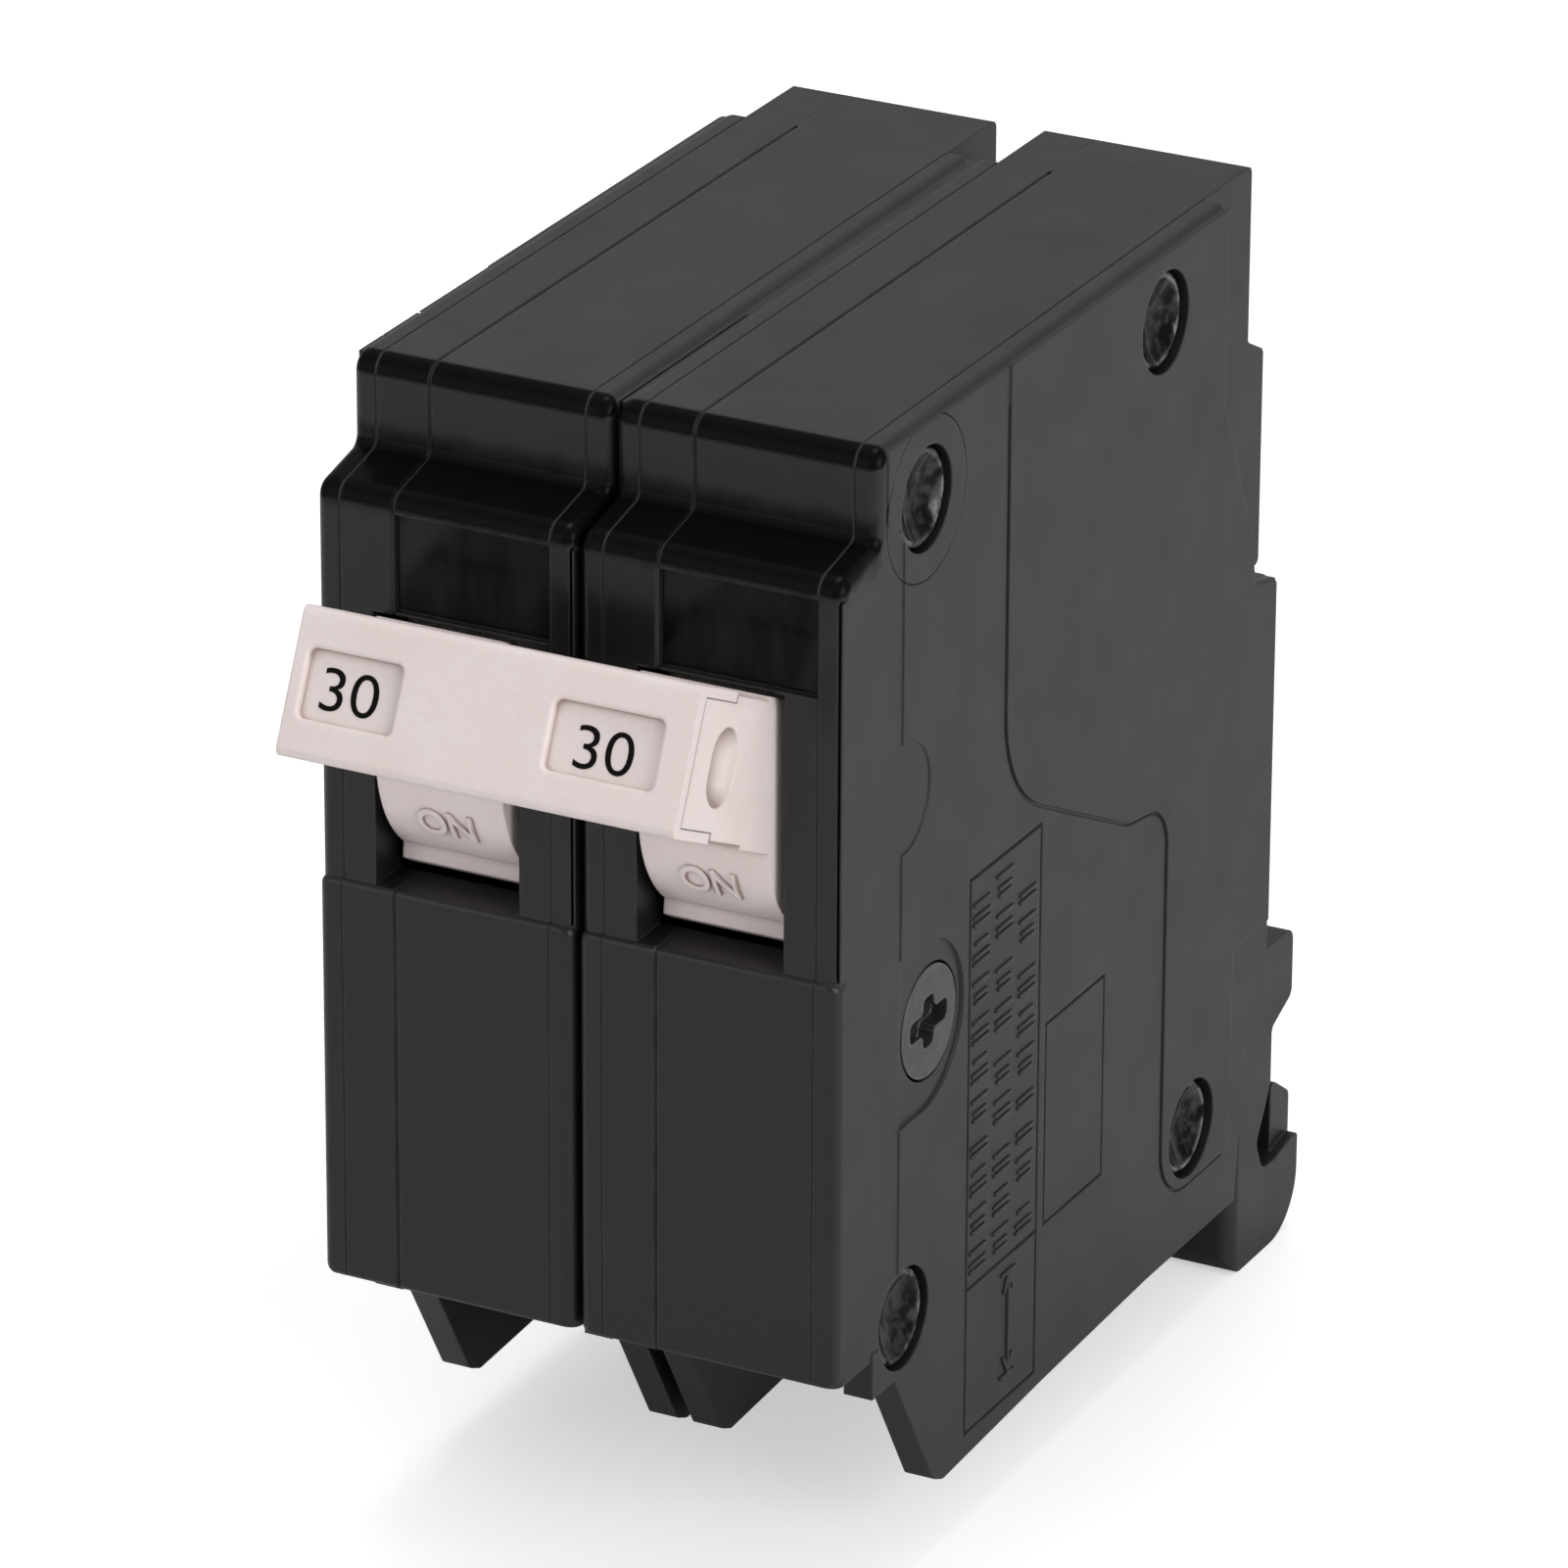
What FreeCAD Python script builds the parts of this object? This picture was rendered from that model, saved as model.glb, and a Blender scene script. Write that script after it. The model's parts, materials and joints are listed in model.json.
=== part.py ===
import FreeCAD, Part

"""Two-pole plug-on circuit breaker, one STEP file per sub-part.

Axes: X across the poles, Y from the handle side to the panel side, Z up towards the line end.
Sections are drawn from a datum at the front face and the front's bottom edge, with x measured
from a pole's own centre plane. place() moves each finished solid into the exported frame, whose
origin is the centre of the rear seating face.
"""

import math
import os

V = FreeCAD.Vector

# ---- driving dimensions, in millimetres and degrees ----
PITCH = 19.05              # standard pole width of this breaker family
HALF = PITCH / 2           # rear side panels stand at the full pole width
HEIGHT = 63.0              # top of the case above the front's bottom edge
SEAT_Y = 64.7              # rear seating face
SEAT_Z = (10.5, 33.2)      # lowest and highest edge of the seating face
SEAM_X = -3.69             # parting plane between cover shell and base shell
FRONT_PANEL_X = 9.43       # front side panels, slightly lower than the rear ones
STRIP_X = 9.36             # front strip, lower again
BODY_X = 7.6               # narrow body around the plug-on jaw
CAVITY_X = 7.4             # half width of the mechanism space
WALL = 2.0
GROOVE = 0.14              # depth and half width of the fine parting lines
SCORE = 0.15               # depth of the line scored round a side panel
STEP_Z = 28.65             # the front stands 0.4 proud below this height
VISOR_Z = (47.9, 54.6)     # recessed field above the handle opening
EDGE_R = 0.85              # rounding of the nose's outer edges
PANEL_R = 0.8              # rounding of the lower front panel's outer edges
RUNNING = 0.06             # radial clearance of everything that turns

PIVOT = (8.4, 38.1)        # handle axis (y, z)
LEVER_ANGLE = 25.0         # lever above horizontal when on, below it when off
LEVER_LENGTH = 21.2        # pivot to the lever's end
LEVER_HALF = 4.6           # half width of the lever, and half its thickness near the drum
TENON_HALF = 4.1           # half thickness of the lever's end, inside the tie bar
LEVER_STEP = 12.2          # pivot to the small step in the lever's flanks
DRUM_R = 9.35              # drum that fills the window around the lever
LIP_R = 10.28              # lips at the drum's edges, and its closed back
LEVER_DIMPLE = (1.85, 1.3, 0.75)  # radius, depth and half stretch of the dish in each lever's sides
TIE_FRONT = 22.2           # pivot to the tie bar's front face
TIE_BACK = 16.9            # pivot to the tie bar's flange edges
TIE_HALF = 4.85            # half height of the tie bar
WINDOW_DEPTH = 0.55        # depth of the tie bar's rating windows
TRUNNION_R = 2.0
NOTCH_R = 6.3              # handle axis to the contact arm's pivot
WINDOW = (-5.25, 5.3, 28.6, 47.7)   # handle opening: x0, x1, z0, z1

ARM_ANGLE = 24.8           # contact arm above horizontal when closed
ARM_LENGTH = 25.2          # arm pivot to the contact's centre
ARM_POST = 20.0            # arm pivot to the main spring's post
CONTACT_GAP = 0.1          # left between the closed contacts so that no solids touch

TRIP_AXIS = (12.75, 20.95)
CRADLE_PIVOT = (22.0, 54.0)
CRADLE_POST = (20.4, 38.9)
CHUTE_Y = 35.9             # front edge of the arc chute, behind the arm's spring post
SPRING_X = 4.95            # plane of the main spring, beside the cradle
ARMATURE_HINGE = (30.4, 12.0)
LEG_INNER = (-6.3, 7.35)    # inner faces of the two legs beside the wire recess
FOOT_X = 9.4                # half width of the rail hook
TIP_X = 8.65                # half width of the hook's raised tip
FOOT_ROUND = 1.1            # rounding of the hook's front corners
REAR_PANEL_Z = -7.3         # lower edge of the rear side panel
RIVETS = ((11.4, 57.7), (46.1, 57.9), (52.7, -3.3), (9.25, 1.2))
RIVET_R = 1.6
RIVET_HEAD_R = 3.4
RIVET_HEAD = 1.3            # thickness of a rivet head
RIVET_DISH = (2.95, 1.05)  # radius and depth of the dish in a rivet head
RIVET_RECESS = (3.55, 1.75)  # radius and depth of the recess around a rivet head

JAW_Z = (38.0, 52.6)        # lower and upper edge of the jaw's leaves
LUG_Z = (-7.5, 3.0)
SCREW_Z = -2.2
SCREW_R = 1.9

ORIGIN = V(0, SEAT_Y, sum(SEAT_Z) / 2)
OUTPUT = "parts"
os.makedirs(OUTPUT, exist_ok=True)


# ---- drawing helpers ----
def corner_arc(before, corner, after, radius):
    """Tangent points and middle point of the arc that rounds one corner."""
    a = (before - corner).normalize()
    b = (after - corner).normalize()
    half_angle = a.getAngle(b) / 2
    reach = radius / math.tan(half_angle)
    centre = corner + (a + b).normalize() * (radius / math.sin(half_angle))
    middle = centre + (corner - centre).normalize() * radius
    return corner + a * reach, middle, corner + b * reach


def outline(points, x=0.0):
    """Closed wire in the plane x from (y, z) or (y, z, corner radius) points."""
    corners = [V(x, p[0], p[1]) for p in points]
    radii = [p[2] if len(p) > 2 else 0 for p in points]
    edges = []
    ends = []
    for i, corner in enumerate(corners):
        if radii[i]:
            before = corners[i - 1]
            after = corners[(i + 1) % len(corners)]
            start, middle, end = corner_arc(before, corner, after, radii[i])
            edges.append((i, Part.Arc(start, middle, end).toShape()))
            ends.append((start, end))
        else:
            ends.append((corner, corner))
    arcs = dict(edges)
    ordered = []
    for i in range(len(corners)):
        if i in arcs:
            ordered.append(arcs[i])
        start = ends[i][1]
        end = ends[(i + 1) % len(corners)][0]
        if start.distanceToPoint(end) > 1e-6:
            ordered.append(Part.makeLine(start, end))
    return Part.Wire(ordered)


def plate(points, x0, x1):
    """Solid between x0 and x1 with the given side outline."""
    return Part.Face(outline(points, x0)).extrude(V(x1 - x0, 0, 0))


def box(x0, x1, y0, y1, z0, z1):
    return Part.makeBox(x1 - x0, y1 - y0, z1 - z0, V(x0, y0, z0))


def rod_x(centre, radius, x0, x1):
    return Part.makeCylinder(radius, x1 - x0, V(x0, centre[0], centre[1]), V(1, 0, 0))


def rod_y(x, z, radius, y0, y1):
    return Part.makeCylinder(radius, y1 - y0, V(x, y0, z), V(0, 1, 0))


def join(first, *others):
    return first.multiFuse(list(others)).removeSplitter()


def drill(shape, *tools):
    return shape.cut(list(tools))


def tilt(shape, centre, degrees):
    """Copy of shape turned about the X axis through centre (y, z)."""
    turned = shape.copy()
    turned.rotate(V(0, centre[0], centre[1]), V(1, 0, 0), degrees)
    return turned


def polar(radius, degrees):
    return (radius * math.cos(math.radians(degrees)), radius * math.sin(math.radians(degrees)))


def on_ray(centre, degrees, distance):
    """Point (y, z) at a distance from centre, degrees above the +Y direction."""
    angle = math.radians(degrees)
    return (centre[0] + distance * math.cos(angle), centre[1] + distance * math.sin(angle))


def pipe(points, radius):
    """Round wire that follows a smooth curve through the points."""
    curve = Part.BSplineCurve()
    curve.interpolate(points)
    direction = curve.tangent(curve.FirstParameter)[0]
    section = Part.Wire([Part.makeCircle(radius, points[0], direction)])
    return Part.Wire([curve.toShape()]).makePipeShell([section], True, True)


# ---- moulded case ----
MAIN = [
    (0, 0), (0, 55.8, 1.3), (4.86, 56.9, 0.6), (4.86, HEIGHT, 1.4), (56, HEIGHT, 0.3),
    (56, 48.8, 1.0), (61, 37.4, 1.0), (61.6, 34, 0.4), (SEAT_Y, SEAT_Z[1], 0.4), (SEAT_Y, 0),
]
FRONT_STEP = [(-0.4, 0, 0.5), (-0.4, STEP_Z, 0.5), (2, STEP_Z), (2, 0)]
SKIN = [(-0.4, 0, 0.5), (-0.4, STEP_Z, 0.35), (0, STEP_Z)] + MAIN[1:]
HUB_PAD = [(8.4, 15), (17.5, 15, 5.9), (17.5, 26.9, 5.9), (8.4, 26.9)]
FRONT_PANEL = [(8.4, 0)] + HUB_PAD + [
    (8.4, 34.3), (12.3, 34.3, 3.7), (12.3, 41.9, 3.7), (8.4, 41.9), (8.4, 56.6, 1.5),
    (6.0, 57.6, 0.8), (6.0, HEIGHT - 0.3), (55.9, HEIGHT - 0.3), (55.9, 48.8, 1.0), (60.8, 37.4, 1.0),
    (61.4, 34, 0.4), (SEAT_Y, SEAT_Z[1] - 0.1, 0.4), (SEAT_Y, 0),
]
REAR_PANEL = [
    (23.2, HEIGHT - 0.3), (23.2, 32.8, 9), (42, 23.6, 6), (48.1, 22.8, 3.6), (48.1, REAR_PANEL_Z, 4),
    (59, REAR_PANEL_Z), (59, 7.6), (SEAT_Y, 7.6), (SEAT_Y, SEAT_Z[1] - 0.3, 0.4),
    (61.2, 33.8, 0.4), (60.6, 37.4, 1.0), (55.7, 48.8, 1.0), (55.7, HEIGHT - 0.3),
]
NARROW = [
    (20, HEIGHT), (63.3, HEIGHT, 0.6), (63.3, 50.3, 0.4), (65.8, 49, 0.6), (65.8, 33.4, 0.5),
    (60, 33.4), (20, 33.4),
]
LEG = [
    (4.8, 0.5), (4.8, -2.8), (7.95, -2.8), (13.8, -12.6, 0.9), (15.2, -13.2, 0.9), (30, -12.5),
    (46, -12), (46, 0.5),
]
REAR_BLOCK = [(44.5, 0.5), (44.5, -12), (60.2, -12), (61.5, 0.5)]
FOOT = [
    (60, 1), (60, -18, 1.7), (70.75, -18, 4.3), (70.75, -11, 0.4), (66.9, -11.7, 0.8),
    (64.9, -11.6, 1.2), (63.8, -9.2, 1.2), (65, -7.2, 0.6), (66, -5.2, 0.5), (66, -1.2, 0.7),
    (69.2, 0.2, 0.8), (69.2, 5.3, 1), (60, 5.3),
]
HOOK_TIP = [(67.7, -13), (67.7, -6, 0.5), (70.75, -8.1, 0.8), (70.75, -13)]
CAVITY = [
    (WALL, 5.0), (WALL, 26.4), (3.3, 26.4), (3.3, 50), (WALL, 50), (WALL, 54.2),
    (6.9, 55.4), (6.9, 61), (54, 61), (54, 48), (59, 36.6), (59.6, 32), (62.7, 31.2),
    (62.7, 9.0), (59.5, 4.0), (58.2, -9.8), (46.6, -9.8), (46.6, 5.0),
]


def fine_line(points, x, inset=GROOVE):
    """Ring-shaped tool that scores a shallow line around an outline at one x."""
    face = Part.Face(outline(points, x - inset))
    inner = face.makeOffset2D(-inset)
    return face.cut(inner).extrude(V(2 * inset, 0, 0))


def soft_plate(points, half, radius, back):
    """Plate whose outer edges are rounded wherever they lie in front of back."""
    solid = plate(points, -half, half)
    flat = [e for e in solid.Edges if e.BoundBox.XLength < 1e-6 and e.BoundBox.YMax < back]
    return solid.makeFillet(radius, flat)


def scored_border(points, x_face, width, room):
    """Shallow moat just outside a side panel's outline, on both sides of a pole, inside room."""
    tools = []
    for side in (-1, 1):
        face = Part.Face(outline(points, side * (x_face - SCORE)))
        ring = face.makeOffset2D(width).cut(face)
        tools.append(ring.extrude(V(side, 0, 0)).common(room))
    return tools


def foot():
    """Rail hook with a raised tip between its side walls, and soft front corners below the case."""
    body = join(plate(FOOT, -FOOT_X, FOOT_X), plate(HOOK_TIP, -TIP_X, TIP_X))
    y, z0, z1 = 60, -19, REAR_PANEL_Z
    for side in (-1, 1):
        x = side * FOOT_X
        inner = side * (FOOT_X - FOOT_ROUND)
        block = box(min(x, inner) - 0.01, max(x, inner) + 0.01, y - 0.01, y + FOOT_ROUND, z0, z1)
        round_bar = Part.makeCylinder(FOOT_ROUND, z1 - z0, V(inner, y + FOOT_ROUND, z0))
        body = drill(body, block.cut(round_bar))
    return body


def housing():
    """One pole's closed case before it is split at the parting plane."""
    blocks = (
        soft_plate(MAIN, STRIP_X, EDGE_R, 6.5),
        soft_plate(FRONT_STEP, STRIP_X, PANEL_R, 1.5),
        box(8, STRIP_X, 0, 2, STEP_Z, VISOR_Z[1]),
        plate(FRONT_PANEL, -FRONT_PANEL_X, FRONT_PANEL_X),
        plate(REAR_PANEL, -HALF, HALF),
        plate(NARROW, -BODY_X, BODY_X),
        plate(REAR_BLOCK, -FRONT_PANEL_X, FRONT_PANEL_X),
        plate(LEG, LEG_INNER[1], FRONT_PANEL_X),
        plate(LEG, LEG_INNER[0] - 2.1, LEG_INNER[0]),
        foot(),
        rod_x(RIVETS[3], 2.9, -7.0, 7.5),
    )
    body = join(*blocks)
    bosses = [rod_x(centre, 4.6, -CAVITY_X, CAVITY_X) for centre in RIVETS]
    bosses += [rod_x(PIVOT, 3.9, -CAVITY_X, -4.85), rod_x(PIVOT, 3.9, 4.85, CAVITY_X)]
    bosses += [rod_x(CRADLE_PIVOT, 2.4, -CAVITY_X, SEAM_X - 0.1), rod_x(CRADLE_PIVOT, 2.4, 4.4, CAVITY_X)]
    bosses += [rod_x(TRIP_AXIS, 4.2, -CAVITY_X, -4.6), rod_x(TRIP_AXIS, 4.2, 4.6, CAVITY_X)]
    bosses += [rod_x(ARMATURE_HINGE, 1.9, -CAVITY_X, -5.9), rod_x(ARMATURE_HINGE, 1.9, 5.9, CAVITY_X)]
    bosses += [box(-2.6, CAVITY_X, 41.0, 44.6, 4.5, 12.0)]
    hollow = drill(plate(CAVITY, -CAVITY_X, CAVITY_X), *bosses)
    jaw_room = box(-4.9, 4.9, 46.5, 61.3, JAW_Z[0] - 1.2, 53.2)
    return drill(body, hollow, jaw_room, *case_openings())


def case_openings():
    """Everything that opens the case to the outside."""
    x0, x1, z0, z1 = WINDOW
    tools = [
        box(x0, x1, -1, 9, z0, z1),
        box(SEAM_X, BODY_X, -1, 0.5, *VISOR_Z),
        box(9.03, 9.26, -1, 0.9, STEP_Z, VISOR_Z[1]),
        box(-1.7, 1.7, 60, 67, JAW_Z[0] + 0.5, 55.0),
        box(*LEG_INNER, 4.8, 44.5, -14, 3.2).cut(rod_x(RIVETS[3], 2.9, -CAVITY_X, CAVITY_X)),
        box(-3.5, 3.5, 27.2, 28.6, 2, 6),
        rod_x(PIVOT, TRUNNION_R + RUNNING, -7.0, 7.0),
        rod_x(CRADLE_PIVOT, 1.2, -8.4, 8.4),
        rod_x(ARMATURE_HINGE, 0.7 + RUNNING, -7.1, 7.1),
        rod_x(TRIP_AXIS, 2.6 + RUNNING, -HALF, HALF),
        rod_y(0, 8.8, 1.25, 40.5, 45),
    ]
    for side in (-1, 1):
        x_out = side * (HALF + 1)
        tools.append(rod_x(TRIP_AXIS, 4.05, min(x_out, side * 7.6), max(x_out, side * 7.6)))
        hub_floor = side * (STRIP_X - 0.12)
        tools.append(plate(HUB_PAD, min(x_out, hub_floor), max(x_out, hub_floor)))
    for centre in RIVETS:
        tools.append(rod_x(centre, RIVET_R + RUNNING, -HALF - 1, HALF + 1))
    tools.append(fine_line(SKIN, SEAM_X))
    for x in (-BODY_X, BODY_X):
        tools.append(fine_line(SKIN, x, GROOVE / 2))
    tools += scored_border(REAR_PANEL, FRONT_PANEL_X, 0.26, box(-12, 12, 20, 58, -10, 60))
    tools += scored_border(FRONT_PANEL, STRIP_X, SCORE, box(-12, 12, 7.5, 30, 57.9, 60))
    return tools


def rating_frame(x_face):
    """Shallow frame lines around the rating text and the wire-strip gauge."""
    depth = 0.18
    lines = [
        (18.3, 28.7, 28.55, 28.85), (18.3, 28.7, -0.95, -0.65), (18.3, 28.7, -11.45, -11.15),
        (18.15, 18.45, -11.45, 28.85), (28.55, 28.85, -11.45, 28.85),
        (29.8, 38.6, 13.7, 13.95), (29.8, 38.6, -0.95, -0.7),
        (29.7, 29.95, -0.95, 13.95), (38.5, 38.75, -0.95, 13.95),
    ]
    return [box(x_face - depth, x_face + 1, y0, y1, z0, z1) for y0, y1, z0, z1 in lines]


def shells():
    """Base shell (right of the parting plane) and cover shell (left of it)."""
    case = housing()
    base = case.common(box(SEAM_X, 12, -5, 75, -20, 70))
    cover = case.common(box(-12, SEAM_X, -5, 75, -20, 70))
    base = drill(base, *rating_frame(FRONT_PANEL_X))
    return base, cover


def rivet_recesses(side):
    """Recesses for the rivet heads in an outer side face of the breaker."""
    radius, depth = RIVET_RECESS
    x0 = side * (HALF - depth)
    x1 = side * (HALF + 1)
    tools = [rod_x(centre, radius, min(x0, x1), max(x0, x1)) for centre in RIVETS]
    witness = rod_x(RIVETS[0], 5.55, side * STRIP_X - 0.14, side * STRIP_X + 0.14)
    tools.append(witness.cut(rod_x(RIVETS[0], 5.45, side * HALF - 1, side * HALF + 1)))
    return tools


# ---- handle group ----
def handle():
    """Toggle lever with its drum, drawn level and then turned to the ON position."""
    py, pz = PIVOT
    shoulder = TIE_BACK - 0.15
    heel = LEVER_HALF + 0.3
    flank = [(LEVER_LENGTH, TENON_HALF), (shoulder, TENON_HALF), (shoulder, LEVER_HALF),
             (LEVER_STEP, LEVER_HALF), (LEVER_STEP, heel), (math.sqrt(DRUM_R ** 2 - heel ** 2), heel)]
    cheek = [polar(DRUM_R, angle) for angle in (54, 75)]
    lip = [polar(DRUM_R - 0.2, 75.6), polar(DRUM_R, 76.3), polar(LIP_R, 79.5)]
    run = flank + cheek + lip
    edges = []
    for side in (-1, 1):
        points = [V(0, py - u, pz + side * v) for u, v in run]
        arc_start = len(flank) - 1
        for i in range(len(points) - 1):
            if i == arc_start:
                edges.append(Part.Arc(*points[i:i + 3]).toShape())
            elif i != arc_start + 1:
                edges.append(Part.makeLine(points[i], points[i + 1]))
    tip, end = run[0], run[-1]
    ends = [V(0, py - end[0], pz + side * end[1]) for side in (-1, 1)]
    edges.append(Part.Arc(ends[0], V(0, py + LIP_R, pz), ends[1]).toShape())
    edges.append(Part.makeLine(*[V(0, py - tip[0], pz + side * tip[1]) for side in (-1, 1)]))
    face = Part.Face(Part.Wire(Part.__sortEdges__(edges)))
    body = face.extrude(V(2 * LEVER_HALF, 0, 0))
    body.translate(V(-LEVER_HALF, 0, 0))
    trunnion = rod_x(PIVOT, TRUNNION_R, -6.9, 6.9)
    notch_centre = (py + NOTCH_R, pz)
    notch = box(-1.5, 1.5, py + 3.2, py + 12, pz - 12, pz + 12)
    pin_hole = rod_x(notch_centre, 0.8, -3.6, 3.6)
    level = drill(join(body, trunnion), notch, pin_hole)
    return tilt(drill(level, *lever_dishes()), PIVOT, -LEVER_ANGLE)


def lever_dishes():
    """Round-ended dishes in both sides of the level lever."""
    radius, depth, stretch = LEVER_DIMPLE
    ball_r = (radius ** 2 + depth ** 2) / (2 * depth)
    reach = LEVER_HALF + ball_r - depth
    y, z = PIVOT[0] - 17, PIVOT[1]
    tools = []
    for x in (-reach, reach):
        middle = Part.makeCylinder(ball_r, 2 * stretch, V(x, y, z - stretch))
        ends = [Part.makeSphere(ball_r, V(x, y, z + way * stretch)) for way in (-1, 1)]
        tools.append(join(middle, *ends))
    return tools


def handle_tie():
    """Channel over both lever ends, with a recessed window for each rating."""
    py, pz = PIVOT
    front = py - TIE_FRONT
    flange = py - TIE_BACK
    inside = TENON_HALF + 0.05
    end = HALF + LEVER_HALF
    section = [
        (front, pz - TIE_HALF, 0.6), (front, pz + TIE_HALF, 0.6),
        (flange, pz + TIE_HALF, 0.2), (flange, pz - TIE_HALF, 0.2),
    ]
    body = plate(section, -end, end)
    body = drill(body, box(-end - 1, end + 1, py - LEVER_LENGTH - 0.05, flange + 1,
                           pz - inside, pz + inside))
    for x0, x1 in ((-13.2, -6.45), (4.35, 12.1)):
        window = box(x0, x1, front - 1, front + WINDOW_DEPTH, pz - 2.27, pz + 2.27)
        corners = [e for e in window.Edges if abs(e.tangentAt(e.FirstParameter).y) > 0.9]
        body = drill(body, window.makeFillet(0.5, corners))
        rim = [e for e in body.Edges
               if e.BoundBox.YLength < 0.001 and abs(e.BoundBox.YMin - front) < 0.001
               and e.BoundBox.XMin > x0 - 0.01 and e.BoundBox.XMax < x1 + 0.01]
        body = body.makeFillet(0.28, rim)
    return tilt(body, PIVOT, -LEVER_ANGLE)


def arm_pivot():
    """Centre (y, z) of the pin that carries the contact arm, with the handle on."""
    return on_ray(PIVOT, -LEVER_ANGLE, NOTCH_R)


def arm_pin():
    return rod_x(arm_pivot(), 0.8, -3.6, 3.6)


def contact_arm():
    """Blade in the handle's notch with a wider pad for the moving contact."""
    y, z = arm_pivot()
    blade = plate([(y - 1.7, z - 1.7, 1.6), (y + 27.4, z - 1.2, 0.5), (y + 27.4, z + 1.2, 0.5),
                   (y + 21.4, z + 1.2), (y + 8, z + 1.6), (y - 1.7, z + 1.7, 1.6)], -1.1, 1.1)
    pad = box(-2.4, 2.4, y + ARM_LENGTH - 2.6, y + ARM_LENGTH + 2.3, z - 0.4, z + 1.2)
    post = rod_x((y + ARM_POST, z), 0.7, 1.0, 6.1)
    hole = rod_x((y, z), 0.8 + RUNNING, -2, 2)
    return tilt(drill(join(blade, pad, post), hole), (y, z), ARM_ANGLE)


def contact_button(n0, n1):
    """Round contact between two heights above the arm's centre line."""
    y, z = arm_pivot()
    button = Part.makeCylinder(2.1, n1 - n0, V(0, y + ARM_LENGTH, z + n0), V(0, 0, 1))
    edges = [e for e in button.Edges if isinstance(e.Curve, Part.Circle)]
    return tilt(button.makeChamfer(0.2, edges), (y, z), ARM_ANGLE)


def moving_contact():
    return contact_button(1.2, 2.2)


def fixed_contact():
    return contact_button(2.2 + CONTACT_GAP, 3.3 + CONTACT_GAP)


# ---- line side ----
def line_strap():
    """Bent copper strap from the fixed contact up to the jaw."""
    y, z = arm_pivot()
    under = 3.3 + CONTACT_GAP
    pad = tilt(box(-2.6, 2.6, y + ARM_LENGTH - 2.8, y + ARM_LENGTH + 3.2, z + under, z + under + 1.3),
               (y, z), ARM_ANGLE)
    riser = plate([(37.0, 50.0), (38.4, 50.5), (46.95, 50.5), (46.95, 51.8), (38.0, 51.8),
                   (36.6, 50.8)], -2.6, 2.6)
    return join(pad, riser)


def line_jaw():
    """Spring-tempered clip whose two leaves grip the panel's stab."""
    z0, z1 = JAW_Z
    leaf = [(2.9, 47.0), (2.9, 52.5), (1.0, 59.2), (1.7, 61.0)]
    thickness = 0.9
    leaves = []
    for side in (-1, 1):
        inner = [V(side * x, y, z0) for x, y in leaf]
        outer = [V(side * (x + thickness), y, z0) for x, y in reversed(leaf)]
        wire = Part.makePolygon(inner + outer + [inner[0]])
        leaves.append(Part.Face(wire).extrude(V(0, 0, z1 - z0)))
    web = box(-3.8, 3.8, 46.95, 48.1, z0, z1)
    return join(web, *leaves)


def jaw_spring():
    """Steel clip bent over the jaw's leaves."""
    z0, z1 = JAW_Z
    outer = box(-4.7, 4.7, 49.0, 52.2, z0 - 0.8, z1 - 3)
    return drill(outer, box(-3.85, 3.85, 48, 53, z0 - 0.1, z1))


# ---- arc chute ----
def arc_plates():
    """Steel splitter plates, notched where the contact arm passes."""
    plates = []
    for level in range(5):
        z = 30.6 + 3.1 * level
        sheet = box(-5.7, 5.7, CHUTE_Y, 46.0, z, z + 1.0)
        notch = box(-3.3, 3.3, CHUTE_Y - 1, 40.0, z - 1, z + 2)
        throat = Part.makeCylinder(3.3, 3, V(0, 40.0, z - 1))
        plates.append(drill(sheet, notch, throat))
    return Part.makeCompound(plates)


def arc_frame():
    """Fibre wrap that holds the splitter plates on three sides."""
    outer = box(-6.6, 6.6, CHUTE_Y, 46.8, 29.6, 45.2)
    inner = box(-5.7, 5.7, CHUTE_Y - 1, 46.0, 29, 46)
    return drill(outer, inner)


# ---- trip unit ----
def cradle():
    """Trip lever: pivots at the top, carries the main spring, and ends in the latch tip."""
    y, z = CRADLE_PIVOT
    profile = [
        (y - 2.6, z + 2.6, 2.5), (y - 2.8, z - 8, 3), (19.1, 38.0, 3), (21.2, 31.5, 3),
        (23.8, 26.4, 0.3), (28.0, 26.4, 0.5), (28.0, 28.6, 0.6), (25.6, 33.5, 3),
        (23.7, 39.5, 3), (y + 2.4, z - 8, 3), (y + 2.6, z + 2.6, 2.5),
    ]
    side = plate(profile, 1.7, 3.3)
    post = rod_x(CRADLE_POST, 0.7, 3.2, 6.1)
    return drill(join(side, post), rod_x(CRADLE_PIVOT, 1.2 + RUNNING, 1, 4))


def cradle_pin():
    return rod_x(CRADLE_PIVOT, 1.2, -8.3, 8.3)


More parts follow.
